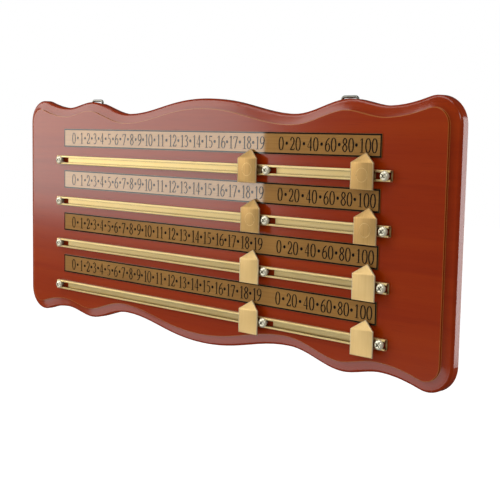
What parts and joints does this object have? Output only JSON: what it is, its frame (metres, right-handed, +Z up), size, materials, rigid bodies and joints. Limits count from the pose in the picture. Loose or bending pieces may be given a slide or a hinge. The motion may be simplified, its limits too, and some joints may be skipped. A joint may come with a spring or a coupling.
{
  "type": "wall scoring board",
  "caption": "Wall-hung table-game scoring board: scalloped wooden board with number strips, channel rails and brass pointers that slide to keep each player's score.",
  "frame": {"origin": "middle of the board's back face, which rests on the wall", "axes": "+X right along the board as it is read, +Z up, +Y into the wall; the reader stands at -Y"},
  "size_m": [0.58, 0.0205, 0.2396],
  "materials": {
    "mahogany": "glossy red-brown lacquer over straight grain",
    "number_plate": "gold-coloured printed plate under gloss",
    "rail_brass": "bright drawn brass",
    "pointer_brass": "brushed brass sheet",
    "runner_brass": "plain machined brass",
    "screw_nickel": "nickel plate",
    "hanger_steel": "dull zinc-plated steel"
  },
  "bodies": {
    "board_body": {"board": "mahogany", "number_strip_1": "number_plate", "number_strip_2": "number_plate", "number_strip_3": "number_plate", "number_strip_4": "number_plate", "rail_1": "rail_brass", "rail_2": "rail_brass", "rail_3": "rail_brass", "rail_4": "rail_brass", "rail_screws": "screw_nickel", "hanger_strap_left": "hanger_steel", "hanger_screws_left": "hanger_steel", "hanger_strap_right": "hanger_steel", "hanger_screws_right": "hanger_steel"},
    "units_pointer_1": {"pointer_units_1": "pointer_brass", "runner_units_1": "runner_brass"},
    "scores_pointer_1": {"pointer_scores_1": "pointer_brass", "runner_scores_1": "runner_brass"},
    "units_pointer_2": {"pointer_units_2": "pointer_brass", "runner_units_2": "runner_brass"},
    "scores_pointer_2": {"pointer_scores_2": "pointer_brass", "runner_scores_2": "runner_brass"},
    "units_pointer_3": {"pointer_units_3": "pointer_brass", "runner_units_3": "runner_brass"},
    "scores_pointer_3": {"pointer_scores_3": "pointer_brass", "runner_scores_3": "runner_brass"},
    "units_pointer_4": {"pointer_units_4": "pointer_brass", "runner_units_4": "runner_brass"},
    "scores_pointer_4": {"pointer_scores_4": "pointer_brass", "runner_scores_4": "runner_brass"},
    "left_ring": {"hanger_ring_left": "hanger_steel"},
    "right_ring": {"hanger_ring_right": "hanger_steel"}
  },
  "joints": [
    {"name": "units_slide_1", "type": "slide", "parent": "board_body", "child": "units_pointer_1", "axis": [1, 0, 0], "range_m": [-0.2776, 0.005]},
    {"name": "scores_slide_1", "type": "slide", "parent": "board_body", "child": "scores_pointer_1", "axis": [1, 0, 0], "range_m": [-0.0946, 0.005]},
    {"name": "units_slide_2", "type": "slide", "parent": "board_body", "child": "units_pointer_2", "axis": [1, 0, 0], "range_m": [-0.2826, 0]},
    {"name": "scores_slide_2", "type": "slide", "parent": "board_body", "child": "scores_pointer_2", "axis": [1, 0, 0], "range_m": [-0.0996, 0]},
    {"name": "units_slide_3", "type": "slide", "parent": "board_body", "child": "units_pointer_3", "axis": [1, 0, 0], "range_m": [-0.2826, 0]},
    {"name": "scores_slide_3", "type": "slide", "parent": "board_body", "child": "scores_pointer_3", "axis": [1, 0, 0], "range_m": [-0.0996, 0]},
    {"name": "units_slide_4", "type": "slide", "parent": "board_body", "child": "units_pointer_4", "axis": [1, 0, 0], "range_m": [-0.2826, 0]},
    {"name": "scores_slide_4", "type": "slide", "parent": "board_body", "child": "scores_pointer_4", "axis": [1, 0, 0], "range_m": [-0.0996, 0]},
    {"name": "left_ring_hinge", "type": "hinge", "parent": "board_body", "child": "left_ring", "pos_m": [-0.174, -0.00209, 0.10345], "axis": [-1, 0, 0], "range_deg": [0, 170]},
    {"name": "right_ring_hinge", "type": "hinge", "parent": "board_body", "child": "right_ring", "pos_m": [0.174, -0.00209, 0.10345], "axis": [-1, 0, 0], "range_deg": [0, 170]}
  ]
}
